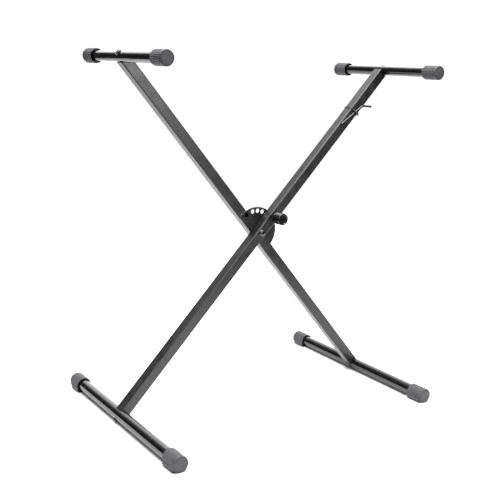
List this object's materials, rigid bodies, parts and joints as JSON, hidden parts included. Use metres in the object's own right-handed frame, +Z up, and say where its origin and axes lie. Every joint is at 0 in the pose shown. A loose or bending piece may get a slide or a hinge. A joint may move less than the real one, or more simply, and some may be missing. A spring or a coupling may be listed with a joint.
{
  "type": "x-style keyboard stand",
  "caption": "Folding X-style keyboard stand: two crossed square legs, round support and foot tubes with ribbed rubber caps, and a spring-pin height lock.",
  "frame": {"origin": "centre of the bounding box on the floor plane, under the middle of the four soles", "axes": "+Z up from the floor; +X from the left foot tube to the right foot tube, across the stand; +Y along the round tubes, from the pull knob's side to the back"},
  "size_m": [0.7412, 0.5462, 0.8083],
  "materials": {
    "leg_paint": "satin black powder coat",
    "tube_enamel": "gloss black enamel",
    "rubber_caps": "matte ribbed",
    "dark_steel": "black oxide",
    "zinc_steel": "zinc plated",
    "nylon_spacer": "matte black nylon",
    "knob_plastic": "gloss black",
    "tie_nylon": "semi-matte black"
  },
  "bodies": {
    "front_frame": {"front_leg": "leg_paint", "front_leg_sleeve": "zinc_steel", "right_support_tube": "tube_enamel", "right_support_cap_front": "rubber_caps", "right_support_cap_rear": "rubber_caps", "right_support_bolt": "dark_steel", "right_support_saddle_washer": "dark_steel", "right_support_insert": "zinc_steel", "left_foot_tube": "tube_enamel", "left_foot_cap_front": "rubber_caps", "left_foot_cap_rear": "rubber_caps", "left_foot_bolt": "dark_steel", "left_foot_saddle_washer": "dark_steel", "left_foot_insert": "zinc_steel", "pivot_bolt": "dark_steel", "pivot_washer": "dark_steel", "pivot_spacer": "nylon_spacer", "pivot_lock_nut": "dark_steel", "pin_housing": "dark_steel", "pin_spring": "dark_steel", "hex_key": "dark_steel", "cable_tie": "tie_nylon"},
    "back_frame": {"back_leg": "leg_paint", "back_leg_sleeve": "zinc_steel", "left_support_tube": "tube_enamel", "left_support_cap_front": "rubber_caps", "left_support_cap_rear": "rubber_caps", "left_support_bolt": "dark_steel", "left_support_saddle_washer": "dark_steel", "left_support_insert": "zinc_steel", "right_foot_tube": "tube_enamel", "right_foot_cap_front": "rubber_caps", "right_foot_cap_rear": "rubber_caps", "right_foot_bolt": "dark_steel", "right_foot_saddle_washer": "dark_steel", "right_foot_insert": "zinc_steel", "locking_plate": "leg_paint", "plate_weld_upper": "leg_paint", "plate_weld_lower": "leg_paint"},
    "lock_knob": {"pull_knob": "knob_plastic", "lock_pin": "dark_steel", "pin_collar": "zinc_steel"}
  },
  "joints": [
    {"name": "leg_fold", "type": "hinge", "parent": "front_frame", "child": "back_frame", "pos_m": [0, 0, 0.40684], "axis": [0, 1, 0], "range_deg": [-16.5, 78.1]},
    {"name": "knob_slide", "type": "slide", "parent": "front_frame", "child": "lock_knob", "axis": [0, 1, 0], "range_m": [0, 0.006], "deforming": ["pin_spring"]}
  ]
}
